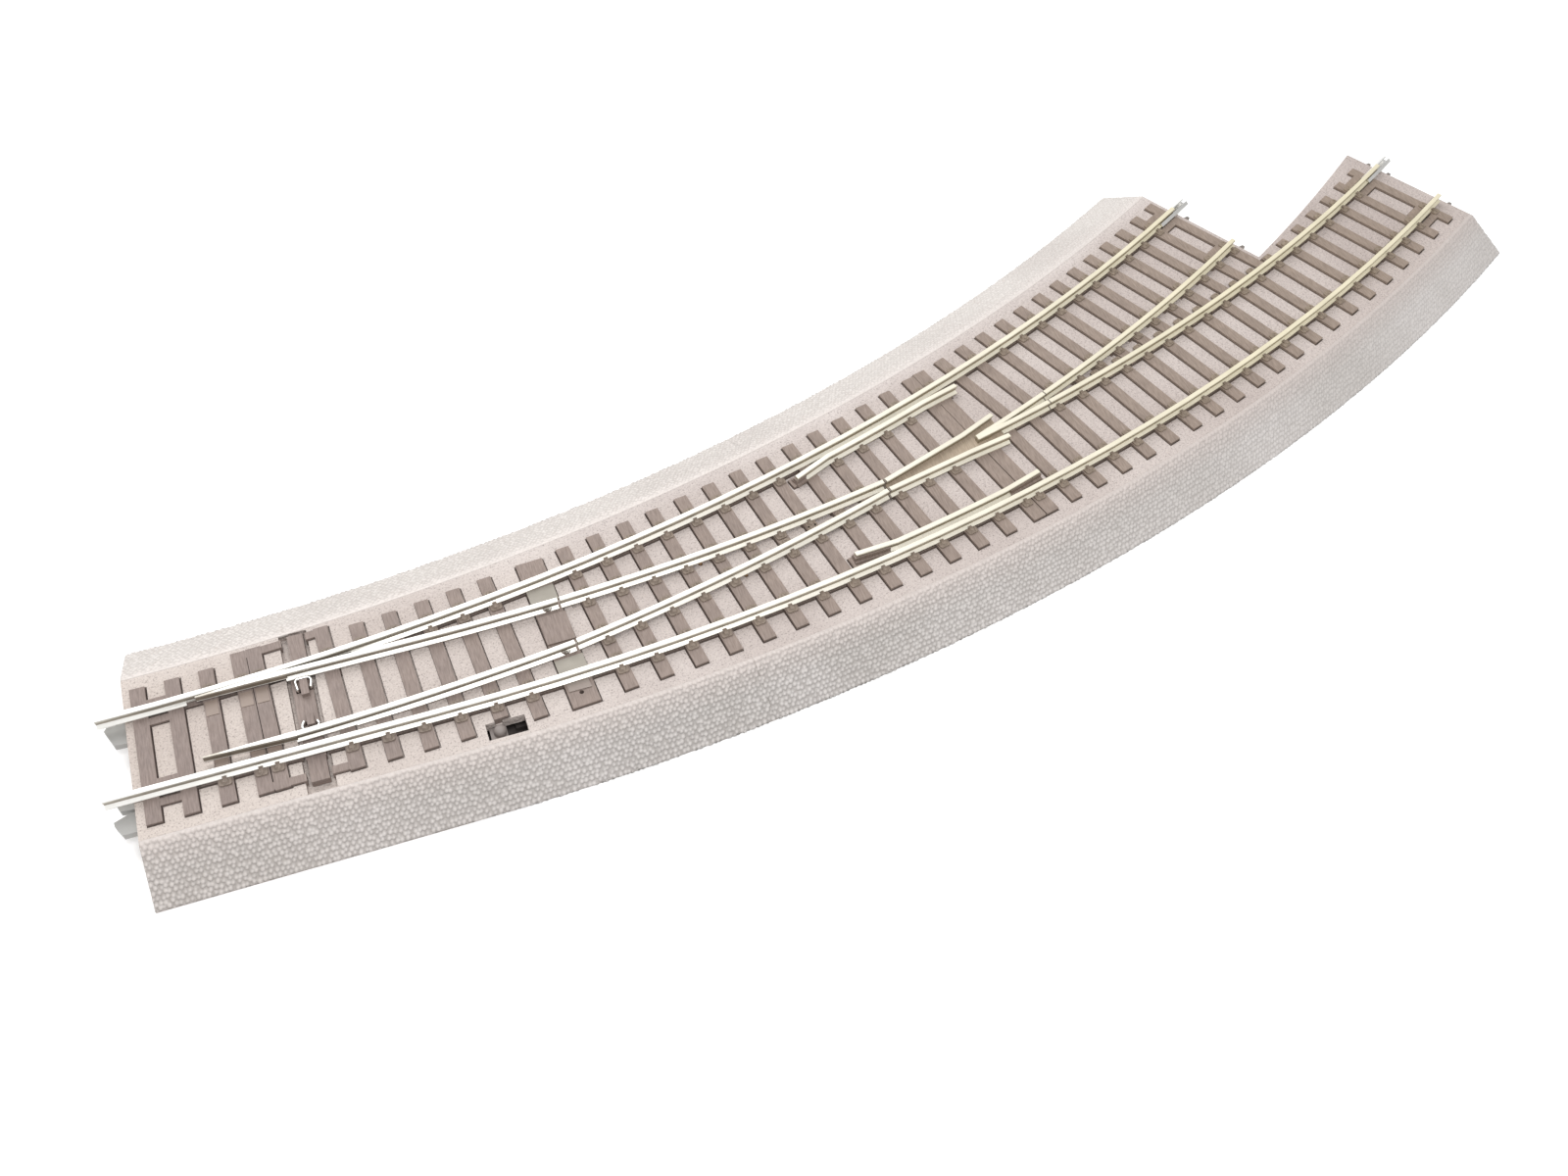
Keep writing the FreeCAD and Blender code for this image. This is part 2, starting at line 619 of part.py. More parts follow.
# ---- small fittings -----------------------------------------------------
def chair():
    """Rail chair beside a foot at +Y: rounded base, boss, spike head and a claw over the foot."""
    plate = box(-1.15, 1.15, 0.05, 1.6, 0, 0.3)
    corners = [e for e in plate.Edges if e.BoundBox.ZLength > 0.2 and e.BoundBox.YMin > 1]
    plate = plate.makeFillet(0.5, corners)
    boss = Part.makeCone(0.82, 0.45, 0.4, V(0, 0.78, 0.25), UP)
    spike = rod(0.2, 1.0, 0.22, 0.4, 0.76)
    claw = box(-0.4, 0.4, -0.25, 0.6, 0.46, 0.62)
    return plate.fuse([boss, spike, claw])


def chair_places():
    """Plan point, heading and side of every chair on a fixed rail."""
    spans = {
        "A": [(8.0, INNER.end - 8.0)], "D": [(8.0, OUTER.end - 1.0)],
        "B": [(91.5, 163.0), (209.0, INNER.end - 1.0)],
        "C": [(91.5, 163.0), (209.0, OUTER.end - 8.0)],
    }
    places = []
    for start, end, width in sleeper_lines():
        if width == HEEL_BLOCK_W:
            continue
        for name, (route, off) in RAILS.items():
            offs = (route.offset_of(start), route.offset_of(end))
            if not min(offs) + 1.2 < off < max(offs) - 0.6:
                continue
            p = meet(start, end, route, off)
            s = route.straight + RADIUS * math.asin((p.x - route.straight) / (RADIUS - off))
            s = p.x if p.x < route.straight else s
            if any(a < s < b for a, b in spans[name]):
                places.append((name, flat(p), route.heading(s)))
    return places


def clear_of_other_rails(name, p):
    for other, (route, off) in RAILS.items():
        if other != name and abs(route.offset_of(p) - off) < 2.05:
            return False
    inner_check = abs(INNER.offset_of(p) - CHECK_OFF) < 1.9 and 145 < p.x < 200
    outer_check = abs(OUTER.offset_of(p) + CHECK_OFF) < 1.9 and 145 < p.x < 200
    in_frog = 163 < p.x < 200 and name in ("B", "C")
    return not (inner_check or outer_check or in_frog)


def rail_chairs():
    pattern, shapes = chair(), []
    for name, p, heading in chair_places():
        for side in (1, -1):
            left = V(-math.sin(heading), math.cos(heading), 0) * side
            if p.x < 92 and name in ("A", "D") and side == (-1 if name == "A" else 1):
                if p.x < 62:
                    continue
            if clear_of_other_rails(name, p + left * (FOOT_W / 2 + 0.8)):
                shapes.append(placed_chair(pattern, p, heading, side))
    for p, heading, side in check_chair_places() + wing_chair_places():
        shapes.append(placed_chair(pattern, p, heading, side))
    return Part.makeCompound(shapes)


def placed_chair(pattern, p, heading, side):
    """Copy of the chair against the foot of a rail running along heading at p."""
    left = V(-math.sin(heading), math.cos(heading), 0) * side
    turn = FreeCAD.Rotation(UP, math.degrees(heading) + (0 if side > 0 else 180))
    piece = pattern.copy()
    piece.Placement = FreeCAD.Placement(p + left * (FOOT_W / 2) + UP * RAIL_Z, turn)
    return piece


def check_chair_places():
    """Chairs on the track side of the inner route's check rail, between its bends."""
    places = []
    for start, end, width in sleeper_lines():
        offs = (INNER.offset_of(start), INNER.offset_of(end))
        p = meet(start, end, INNER, CHECK_OFF)
        s = RADIUS * math.asin(p.x / (RADIUS - CHECK_OFF))
        if width < HEEL_BLOCK_W and min(offs) < CHECK_OFF < max(offs) and 159.0 < s < 187.0:
            places.append((flat(p), INNER.heading(s), -1))
    return places


def wing_chair_places():
    """Chairs outside the wing rail on the side of the outer curve."""
    start, knuckle, _ = WING_LOWER
    heading = math.atan2(knuckle.y - start.y, knuckle.x - start.x)
    places = []
    for a, b, _ in sleeper_lines():
        across, run = b - a, knuckle - start
        det = across.x * run.y - across.y * run.x
        t = ((a.x - start.x) * across.y - (a.y - start.y) * across.x) / -det
        if 0.04 < t < 0.96:
            places.append((flat(start + run * t), heading, -1))
    return places


def slide_pads():
    """Plates the blades slide on."""
    shapes = []
    for s in (22.9, 29.4, 32.4):
        start, end = shared_sleeper(s)
        for y0, y1 in ((4.6, 7.9), (-7.6, -4.2)):
            mid = start + (end - start) * ((start.y - (y0 + y1) / 2) / (start.y - end.y))
            shapes.append(box(mid.x - 1.15, mid.x + 1.15, y0, y1, RAIL_Z, RAIL_Z + 0.12))
    return Part.makeCompound(shapes)


def heel_plates():
    upper = [(84.85, 10.8), (90.4, 11.1), (90.2, 15.0), (84.6, 14.5)]
    lower = [(85.9, -6.8), (91.7, -6.8), (91.5, -3.1), (85.7, -3.5)]
    outer = [(86.7, -11.2), (91.2, -11.2), (91.0, -9.3), (86.6, -9.3)]
    plates = [prism(plan, RAIL_Z, RAIL_Z + 0.22) for plan in (upper, lower, outer)]
    pins = []
    for name in NOTCH_X:
        p = notch_centre(name)
        pins.append(rod(p.x, p.y - 0.62, 0.25, RAIL_Z, RAIL_Z + 0.55))
    hole = rod(FIX_X, FIX_Y, FIX_R, RAIL_Z - 1, RAIL_Z + 1)
    return Part.makeCompound([plate.cut(hole) for plate in plates] + pins)


def heel_cover():
    return prism([(85.5, 0.5), (91.2, 0.6), (90.85, 7.6), (85.15, 7.4)], RAIL_Z, RAIL_Z + 0.5)


def joiner(name):
    """Folded sheet sleeve on a rail end, half of it past the rail."""
    route, off = RAILS[name]
    f, t = FOOT_W / 2 + 0.04, 0.25
    profile = [
        (-f - t, RAIL_Z - t), (f + t, RAIL_Z - t), (f + t, RAIL_Z + 0.35), (WEB_W / 2 + 0.3, RAIL_Z + 0.95),
        (WEB_W / 2 + 0.12, RAIL_Z + 0.8), (f, RAIL_Z + 0.26), (f, RAIL_Z - 0.03), (-f, RAIL_Z - 0.03),
        (-f, RAIL_Z + 0.26), (-WEB_W / 2 - 0.12, RAIL_Z + 0.8), (-WEB_W / 2 - 0.3, RAIL_Z + 0.95),
        (-f - t, RAIL_Z + 0.35),
    ]
    start = INNER.end if route is INNER else OUTER.end
    return sweep(route, [(off + u, z) for u, z in profile], start - 6.2, start + 6.2)


def joiner_seat(name):
    """Space round a joiner, taken from the sleepers under it."""
    route, off = RAILS[name]
    return band(route, off - 1.4, off + 1.4, route.end - 6.5, route.end + 4, RAIL_Z - 0.3, 12)


def lug(outline):
    return prism(outline, LUG_Z0, LUG_Z1)


def toe_lugs():
    inner = [(8.0, 9.3), (3.1, 9.2), (2.6, 8.5), (4.1, 4.8), (8.0, 4.6)]
    small = [(8.0, -8.3), (3.5, -8.4), (4.0, -9.6), (8.0, -10.0)]
    outer = [(8.0, -10.4), (5.8, -10.4), (2.7, -11.5), (2.8, -12.4), (4.0, -14.6), (8.0, -14.6)]
    return Part.makeCompound([lug(o) for o in (inner, small, outer)])


def branch_lugs():
    shapes = []
    for route, offs in ((INNER, (5.8, -10.4)), (OUTER, (6.2, 12.0, -11.4))):
        for off in offs:
            s = route.end + BED_PAST
            plan = [route.point(s - 1.2, off - 1.1), route.point(s + 1.0, off - 1.0),
                    route.point(s + 2.9, off - 0.35), route.point(s + 2.9, off + 0.35),
                    route.point(s + 1.0, off + 1.0), route.point(s - 1.2, off + 1.1)]
            shapes.append(lug([(p.x, p.y) for p in plan]))
    return Part.makeCompound(shapes)


# ---- hand drive under the track -----------------------------------------
CRANK_Z0, CRANK_Z1 = 2.8, 3.7
SLIDER_Z0, SLIDER_Z1 = 1.45, 2.5
SLIDER_Y0, SLIDER_Y1 = KNOB_Y - 1.9, KNOB_Y + 1.5
CRANK_PIN_R = 0.7
DETENT_X = 60.0
SLIDER_TRAVEL = 2 * LEVER_ARM * math.sin(CRANK_SWING / 2)


def crank_pins_at():
    a = CRANK_SWING / 2
    bar_pin = V(CRANK_X - CRANK_ARM * math.cos(a), CRANK_Y + CRANK_ARM * math.sin(a), 0)
    slide_pin = V(CRANK_X - LEVER_ARM * math.sin(a), CRANK_Y - LEVER_ARM * math.cos(a), 0)
    return bar_pin, slide_pin


def bell_crank():
    hub = rod(CRANK_X, CRANK_Y, 2.2, CRANK_Z0, CRANK_Z1)
    shapes = [hub]
    for p in crank_pins_at():
        shapes.append(rod(p.x, p.y, 1.25, CRANK_Z0, CRANK_Z1))
        shapes.append(bar(V(CRANK_X, CRANK_Y, 0), p, 2.2, CRANK_Z0, CRANK_Z1))
    holes = [rod(CRANK_X, CRANK_Y, 0.8 + RUN_FIT, 0, 9)]
    holes += [rod(p.x, p.y, CRANK_PIN_R, 0, 9) for p in crank_pins_at()]
    return joined(shapes).cut(holes)


def crank_pins():
    bar_pin, slide_pin = crank_pins_at()
    up = rod(bar_pin.x, bar_pin.y, CRANK_PIN_R, CRANK_Z0, BAR_Z1 - 0.7)
    down = rod(slide_pin.x, slide_pin.y, CRANK_PIN_R, SLIDER_Z0 + 0.1, CRANK_Z1)
    return Part.makeCompound([up, down])


def crank_pivot():
    """Fixed pin with a head over the crank."""
    return joined([rod(CRANK_X, CRANK_Y, 0.8, TRAY_Z0, 4.0), rod(CRANK_X, CRANK_Y, 1.3, 3.78, 4.0)])


def manual_slider():
    _, slide_pin = crank_pins_at()
    shape = box(slide_pin.x - 2.2, KNOB_X + 2.4, SLIDER_Y0, SLIDER_Y1, SLIDER_Z0, SLIDER_Z1)
    slot = CRANK_PIN_R + RUN_FIT
    furthest = CRANK_Y - LEVER_ARM
    cuts = [box(slide_pin.x - slot, slide_pin.x + slot, furthest - 0.8, slide_pin.y + 0.8, 0, 9)]
    left, right, y = DETENT_X - SLIDER_TRAVEL, DETENT_X, SLIDER_Y1
    plan = [(left - 0.8, y + 0.1), (left - 0.6, y - 0.4), (left, y - 0.7), (left + 0.5, y - 0.4),
            (right - 0.5, y - 0.4), (right, y - 0.7), (right + 0.6, y - 0.4), (right + 0.8, y + 0.1)]
    cuts.append(prism(plan, 0, 9))
    cuts.append(rod(KNOB_X, KNOB_Y, 0.8, 0, 9))
    return shape.cut(cuts)


def slider_knob():
    """Domed stud on a block, pressed into the slider, for a fingernail."""
    stud = rod(KNOB_X, KNOB_Y, 0.8, SLIDER_Z0, SLIDER_Z1 + 0.05)
    block = box(KNOB_X - 1.9, KNOB_X + 1.3, KNOB_Y - 1.5, KNOB_Y + 1.4, SLIDER_Z1 + 0.02, 4.9)
    body = rod(KNOB_X, KNOB_Y, KNOB_R, 4.8, KNOB_TOP)
    edge = [e for e in body.Edges if abs(e.BoundBox.ZMin - KNOB_TOP) < 1e-6]
    return joined([stud, block, body.makeFillet(0.9, edge)])


def detent_spring():
    """Leaf with a bump that rests in a notch of the slider."""
    x, y, t = DETENT_X, SLIDER_Y1 + 0.55, 0.25
    lower = [(x - 6, y), (x - 1.1, y), (x, SLIDER_Y1 - 0.3), (x + 1.1, y), (x + 6, y)]
    upper = [(x + 6, y + t), (x + 1, y + t), (x, SLIDER_Y1 + t), (x - 1, y + t), (x - 6, y + t)]
    return prism(lower + upper, SLIDER_Z0 + 0.1, SLIDER_Z1 - 0.1)


def drive_tray():
    """Cover under the mechanism, with guides for the slider and spring posts."""
    x0, x1, y0, y1 = tray_plan(0.0)
    shapes = [box(x0, x1, y0, y1, TRAY_Z0, TRAY_Z1)]
    top = SLIDER_Z1 - 0.1
    shapes.append(box(54.0, 69.0, SLIDER_Y0 - 1.0, SLIDER_Y0 - 0.1, TRAY_Z0, top))
    shapes.append(box(75.5, 81.0, SLIDER_Y1 + 0.1, SLIDER_Y1 + 1.1, TRAY_Z0, top))
    shapes.append(box(53.6, 55.4, SLIDER_Y1 + 0.84, SLIDER_Y1 + 2.0, TRAY_Z0, top))
    shapes.append(box(64.6, 66.4, SLIDER_Y1 + 0.84, SLIDER_Y1 + 2.0, TRAY_Z0, top))
    shapes.append(rod(CRANK_X, CRANK_Y, 2.0, TRAY_Z0, CRANK_Z0 - 0.2))
    holes = [rod(CRANK_X, CRANK_Y, 0.8, 0, 9)]
    for x, y in screw_points():
        holes.append(rod(x, y, TRAY_SCREW_R + 0.1, 0, 9))
        holes.append(rod(x, y, TRAY_HEAD_R + 0.1, 0, TRAY_Z0 + 0.45))
    return joined(shapes).cut(holes)


def tray_screws():
    shapes = []
    for x, y in screw_points():
        head = rod(x, y, TRAY_HEAD_R, TRAY_Z0 + 0.02, TRAY_Z0 + 0.45)
        slot = box(x - 1.2, x + 1.2, y - 0.15, y + 0.15, 0, TRAY_Z0 + 0.22)
        shank = rod(x, y, TRAY_SCREW_R, TRAY_Z0 + 0.3, SCREW_TOP)
        shapes.append(joined([head.cut(slot), shank]))
    return Part.makeCompound(shapes)


# ---- feeders that join rails of one polarity ----------------------------
def feeder_line(a, b, first, second):
    return flat(meet(a, b, *RAILS[first])), flat(meet(a, b, *RAILS[second]))


def jumper_lines():
    toward = shared_sleeper(122.5)
    away = shared_sleeper(129.6)
    across = INNER.point(218.2, SLEEPER_HALF), INNER.point(218.2, -40)
    back = OUTER.point(226.1, 40), OUTER.point(226.1, -SLEEPER_HALF)
    return [
        feeder_line(*toward, "A", "C"), feeder_line(*away, "B", "D"),
        feeder_line(*across, "A", "C"), feeder_line(*back, "B", "D"),
    ]


def feeders(indices):
    shapes = []
    lines = jumper_lines()
    for i in indices:
        a, b = lines[i]
        strip = bar(a, b, JUMPER_W, 0.6, 1.1, JUMPER_PIN_R + 0.3)
        pins = [rod(p.x, p.y, JUMPER_PIN_R, 0.6, RAIL_Z) for p in (a, b)]
        shapes.append(joined([strip] + pins))
    return Part.makeCompound(shapes)


# ---- parts list ---------------------------------------------------------
def parts():
    pivot_p, pivot_q = blade_pivots()
    seats = [joiner_seat("A"), joiner_seat("C")]
    return {
        "ballast_bedding": ballast_bedding().cut(seats),
        "sleeper_grid": sleeper_grid().cut(seats),
        "rail_chairs": rail_chairs(),
        "stock_rail_inner": stock_rail("A"),
        "stock_rail_outer": stock_rail("D"),
        "closure_rail_outer_route": closure_rail("C"),
        "closure_rail_inner_route": closure_rail("B"),
        "switch_blade_outer_route": blade_p(),
        "switch_blade_inner_route": blade_q(),
        "blade_loop_outer_route": blade_loop(LOOP_P),
        "blade_loop_inner_route": blade_loop(LOOP_Q),
        "blade_rivet_outer_route": pivot_rivet(pivot_p),
        "blade_rivet_inner_route": pivot_rivet(pivot_q),
        "throw_bar": throw_bar(),
        "frog_nose": frog_nose(),
        "frog_floor": frog_floor(),
        "wing_rail_inner_side": bent_rail(WING_UPPER),
        "wing_rail_outer_side": bent_rail(WING_LOWER),
        "rail_insulators": rail_insulators(),
        "branch_rail_inner_route": branch_rail("B"),
        "branch_rail_outer_route": branch_rail("C"),
        "check_rail_inner_route": check_rail_inner(),
        "check_rail_outer_route": check_rail_outer(),
        "slide_pads": slide_pads(),
        "heel_plates": heel_plates(),
        "heel_cover": heel_cover(),
        "rail_joiner_inner_route": joiner("A"),
        "rail_joiner_outer_route": joiner("C"),
        "toe_coupling_lugs": toe_lugs(),
        "branch_coupling_lugs": branch_lugs(),
        "bell_crank": bell_crank(),
        "crank_pins": crank_pins(),
        "crank_pivot": crank_pivot(),
        "manual_slider": manual_slider(),
        "slider_knob": slider_knob(),
        "detent_spring": detent_spring(),
        "drive_tray": drive_tray(),
        "tray_screws": tray_screws(),
        "feeder_inner_side": feeders((0, 2)),
        "feeder_outer_side": feeders((1, 3)),
    }


os.makedirs("parts", exist_ok=True)
for node, shape in parts().items():
    solids = shape.Solids
    good = all(s.isValid() and s.isClosed() for s in solids)
    print(f"{node:28s} solids {len(solids):3d} volume {shape.Volume:9.1f} {'ok' if good else 'BAD'}")
    shape.translate(V(-RAIL_START, 0, 0))
    shape.exportStep(f"parts/{node}.step")
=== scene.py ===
import json
import math

import bmesh
import bpy
import numpy as np
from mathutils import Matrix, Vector


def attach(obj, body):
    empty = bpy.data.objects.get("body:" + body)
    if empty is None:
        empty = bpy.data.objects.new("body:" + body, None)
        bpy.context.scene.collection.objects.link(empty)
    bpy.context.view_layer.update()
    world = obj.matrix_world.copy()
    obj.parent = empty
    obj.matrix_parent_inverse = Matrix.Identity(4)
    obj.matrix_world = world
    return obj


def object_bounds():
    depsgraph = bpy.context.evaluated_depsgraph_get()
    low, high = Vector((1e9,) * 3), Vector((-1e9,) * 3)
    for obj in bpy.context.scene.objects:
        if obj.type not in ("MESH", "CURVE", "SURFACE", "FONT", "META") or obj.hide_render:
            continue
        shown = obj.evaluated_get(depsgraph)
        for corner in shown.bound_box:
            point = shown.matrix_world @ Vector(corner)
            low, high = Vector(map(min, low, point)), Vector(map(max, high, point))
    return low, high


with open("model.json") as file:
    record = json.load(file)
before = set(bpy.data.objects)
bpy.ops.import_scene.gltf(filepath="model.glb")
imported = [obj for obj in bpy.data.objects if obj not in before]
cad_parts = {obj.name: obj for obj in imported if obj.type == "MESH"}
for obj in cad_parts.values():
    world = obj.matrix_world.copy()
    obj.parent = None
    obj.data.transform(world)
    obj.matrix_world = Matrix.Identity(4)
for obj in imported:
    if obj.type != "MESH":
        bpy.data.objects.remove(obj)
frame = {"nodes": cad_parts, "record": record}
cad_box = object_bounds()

MM = 0.001

# ---- the turnout's own geometry, in millimetres ---------------------------
RADIUS = 542.8            # centre-line radius of both routes
CURVE = math.radians(30)  # angle of both curves
SPACING = 61.6            # straight length of the outer route before its curve
RAIL_START = 2.0          # the rails and the frame start here, counted from the start of the inner curve
INNER_END = 286.2         # stations of the rail ends of the two routes
OUTER_END = 347.8
BED_PAST = 1.7            # the bedding ends this far past the rail ends
BED_FACE = 6.8            # station of the bedding's face at the toe
BED_TOP = 6.4             # height of the level ballast
SHOULDER = 18.2           # half the width of the bedding on top
BED_HALF = 28.8           # half its width at the foot
RAIL_BOTTOM = 6.9         # heights of the rails' foot and head
RAIL_TOP = 9.0


def route_point(straight, s, off):
    """Plan point, in mm, at station s and left offset off of a route."""
    turned = np.clip(s - straight, 0.0, RADIUS * CURVE) / RADIUS
    run = np.minimum(s, straight)
    past = np.maximum(s - straight - RADIUS * CURVE, 0.0)
    x = run + (RADIUS - off) * np.sin(turned) + past * np.cos(turned) - RAIL_START
    y = RADIUS - (RADIUS - off) * np.cos(turned) + past * np.sin(turned)
    return x, y


# ---- node helpers ---------------------------------------------------------
class Shader:
    """Small wrapper that builds one Principled material."""

    def __init__(self, name, rough, metallic=0.0, specular=0.5):
        self.mat = bpy.data.materials.new(name)
        self.mat.use_nodes = True
        self.tree = self.mat.node_tree
        self.bsdf = self.tree.nodes["Principled BSDF"]
        self.bsdf.inputs["Roughness"].default_value = rough
        self.bsdf.inputs["Metallic"].default_value = metallic
        self.bsdf.inputs["Specular IOR Level"].default_value = specular
        self.coords = self.tree.nodes.new("ShaderNodeTexCoord").outputs["Object"]

    def link(self, a, b):
        self.tree.links.new(a, b)

    def set(self, socket, value):
        """Gives a socket a number, a colour of three numbers, or another node's output."""
        if isinstance(value, (int, float)):
            socket.default_value = value
        elif isinstance(value, tuple):
            socket.default_value = (*value, 1.0)
        else:
            self.link(value, socket)

    def span(self, fac, low, high, from_low=0.0, from_high=1.0):
        """Maps from_low..from_high to low..high."""
        node = self.tree.nodes.new("ShaderNodeMapRange")
        node.inputs["From Min"].default_value = from_low
        node.inputs["From Max"].default_value = from_high
        node.inputs["To Min"].default_value = low
        node.inputs["To Max"].default_value = high
        self.link(fac, node.inputs["Value"])
        return node.outputs["Result"]

    def along(self, axis, start_mm, end_mm, low=0.0, high=1.0):
        """low to high as the object's X, Y or Z goes from start to end."""
        node = self.tree.nodes.new("ShaderNodeSeparateXYZ")
        self.link(self.coords, node.inputs["Vector"])
        return self.span(node.outputs[axis], low, high, start_mm * MM, end_mm * MM)

    def inside_curve(self, low_mm, high_mm):
        """0 to 1 as the offset to the inside of the inner curve goes from low to high."""
        node = self.tree.nodes.new("ShaderNodeVectorMath")
        node.operation = "DISTANCE"
        self.link(self.coords, node.inputs[0])
        node.inputs[1].default_value = (-RAIL_START * MM, RADIUS * MM, BED_TOP * MM)
        start, end = (RADIUS - low_mm) * MM, (RADIUS - high_mm) * MM
        return self.span(node.outputs["Value"], 0.0, 1.0, start, end)

    def mapped(self, scale, turn):
        node = self.tree.nodes.new("ShaderNodeMapping")
        node.inputs["Scale"].default_value = scale
        node.inputs["Rotation"].default_value = turn
        self.link(self.coords, node.inputs["Vector"])
        return node.outputs["Vector"]

    def noise(self, size_mm, detail=3.0, rough=0.55, vector=None):
        """Noise whose features are about size_mm across."""
        node = self.tree.nodes.new("ShaderNodeTexNoise")
        node.inputs["Scale"].default_value = 1.0 / (size_mm * MM)
        node.inputs["Detail"].default_value = detail
        node.inputs["Roughness"].default_value = rough
        self.link(vector or self.coords, node.inputs["Vector"])
        return node.outputs["Fac"]

    def cells(self, size_mm, feature="F1", smooth=0.0):
        """Voronoi cells about size_mm across."""
        node = self.tree.nodes.new("ShaderNodeTexVoronoi")
        node.feature = feature
        node.inputs["Scale"].default_value = 1.0 / (size_mm * MM)
        if feature == "SMOOTH_F1":
            node.inputs["Smoothness"].default_value = smooth
        self.link(self.coords, node.inputs["Vector"])
        return node

    def ramp(self, fac, stops):
        node = self.tree.nodes.new("ShaderNodeValToRGB")
        elements = node.color_ramp.elements
        while len(elements) < len(stops):
            elements.new(0.5)
        for element, (at, colour) in zip(elements, stops):
            element.position = at
            element.color = (*colour, 1.0)
        self.link(fac, node.inputs["Fac"])
        return node.outputs["Color"]

    def mix(self, fac, a, b, mode="MIX"):
        node = self.tree.nodes.new("ShaderNodeMix")
        node.data_type = "RGBA"
        node.blend_type = mode
        self.set(node.inputs["Factor"], fac)
        self.set(node.inputs["A"], a)
        self.set(node.inputs["B"], b)
        return node.outputs["Result"]

    def times(self, a, b):
        return self.mix(1.0, a, b, "MULTIPLY")

    def calculate(self, operation, a, b):
        node = self.tree.nodes.new("ShaderNodeMath")
        node.operation = operation
        self.set(node.inputs[0], a)
        self.set(node.inputs[1], b)
        return node.outputs[0]

    def bump(self, height, distance_mm, strength):
        node = self.tree.nodes.new("ShaderNodeBump")
        node.inputs["Strength"].default_value = strength
        node.inputs["Distance"].default_value = distance_mm * MM
        self.link(height, node.inputs["Height"])
        return node.outputs["Normal"]

    def finish(self, colour, rough=None, normal=None):
        self.set(self.bsdf.inputs["Base Color"], colour)
        if rough is not None:
            self.set(self.bsdf.inputs["Roughness"], rough)
        if normal is not None:
            self.set(self.bsdf.inputs["Normal"], normal)
        return self.mat


# ---- materials --------------------------------------------------------------
WHITE = (1.0, 1.0, 1.0)
STREAK_SCALE = (0.06, 1.0, 1.0)      # stretches noise along the rails
STREAK_TURN = (0.0, 0.0, -0.25)
WOOD_SCALE = (1.0, 0.12, 1.0)        # stretches noise along the sleepers
WOOD_TURN = (0.0, 0.0, -0.2)


def linear(channel):
    """Linear value of one sRGB channel given as 0 to 255."""
    if channel < 10:
        return channel / 255 / 12.92
    return ((channel / 255 + 0.055) / 1.055) ** 2.4


def srgb(r, g, b):
    return linear(r), linear(g), linear(b)


def grey(level):
    return level, level, level


def tint_with_x(m, colour, far_end):
    """Tints a colour towards far_end from the toe to the branches."""
    return m.times(colour, m.ramp(m.along("X", 30.0, 300.0), [(0.0, WHITE), (1.0, far_end)]))


def ballast_material():
    """Fine stone grain of the level ballast."""
    m = Shader("ballast_top", rough=0.8, specular=0.3)
    tone = m.noise(26.0, detail=2.0)
    grain = m.noise(0.34, detail=2.0, rough=0.6)
    base = m.ramp(tone, [(0.35, srgb(198, 188, 183)), (0.65, srgb(210, 201, 196))])
    speck = m.ramp(grain, [(0.30, (0.55, 0.53, 0.53)), (0.42, (0.93, 0.92, 0.92)),
                           (0.75, (1.06, 1.06, 1.05))])
    toe = m.ramp(m.along("X", 0.0, 100.0), [(0.0, (0.97, 0.95, 0.92)), (1.0, WHITE)])
    grains = m.times(m.times(base, speck), toe)
    # Painted light: the shoulder inside the curve, which faces the light, is made lighter.
    inner_shoulder_painted_light = m.times(grains, (1.03, 1.04, 1.05))
    rest = tint_with_x(m, grains, (0.88, 0.86, 0.855))
    colour = m.mix(m.inside_curve(14.0, 18.0), rest, inner_shoulder_painted_light)
    lumps = m.cells(0.8, "SMOOTH_F1", smooth=0.5).outputs["Distance"]
    height = m.calculate("SUBTRACT", m.calculate("MULTIPLY", grain, 0.6),
                         m.calculate("MULTIPLY", lumps, 0.9))
    normal = m.bump(height, distance_mm=0.40, strength=0.75)
    return m.finish(colour, m.span(grain, 0.62, 0.92), normal)


def pebble_material(name, low_a, low_b, top, fade, painted_gap_shade, levels):
    """Satin pebbles: low_a to low_b below, as warm as the level ballast at the top, with painted shade in
    the gaps and a painted highlight on the stones' tops.

    top is tinted towards fade, and the low colours by levels, from the toe to the branches.
    """
    m = Shader(name, rough=0.4, specular=0.5)
    patches = m.ramp(m.noise(30.0, detail=2.0), [(0.35, low_a), (0.65, low_b)])
    low = m.times(patches, m.ramp(m.along("X", 0.0, 320.0), levels))
    base = m.mix(m.along("Z", 3.6, BED_TOP), low, tint_with_x(m, top, fade))
    grain = m.noise(0.22, detail=2.0, rough=0.6)
    stone = m.ramp(m.cells(0.9).outputs["Color"], [(0.0, grey(0.94)), (1.0, WHITE)])
    # Painted shade in the gaps between the stones and a painted highlight on their tops, from the stone
    # height kept in the mesh; both fade towards the branches.
    height = m.tree.nodes.new("ShaderNodeAttribute")
    height.attribute_name = "stone"
    painted_gap_shade_and_highlight = m.ramp(height.outputs["Fac"], [(0.0, painted_gap_shade), (0.62, grey(0.92)), (0.92, grey(1.10))])
    painted_gap_shade_and_highlight = m.mix(m.along("X", 130.0, 300.0, 0.0, 0.65), painted_gap_shade_and_highlight, grey(0.99))
    colour = m.times(base, m.times(stone, painted_gap_shade_and_highlight))
    return m.finish(colour, m.span(grain, 0.30, 0.50), m.bump(grain, distance_mm=0.04, strength=0.5))


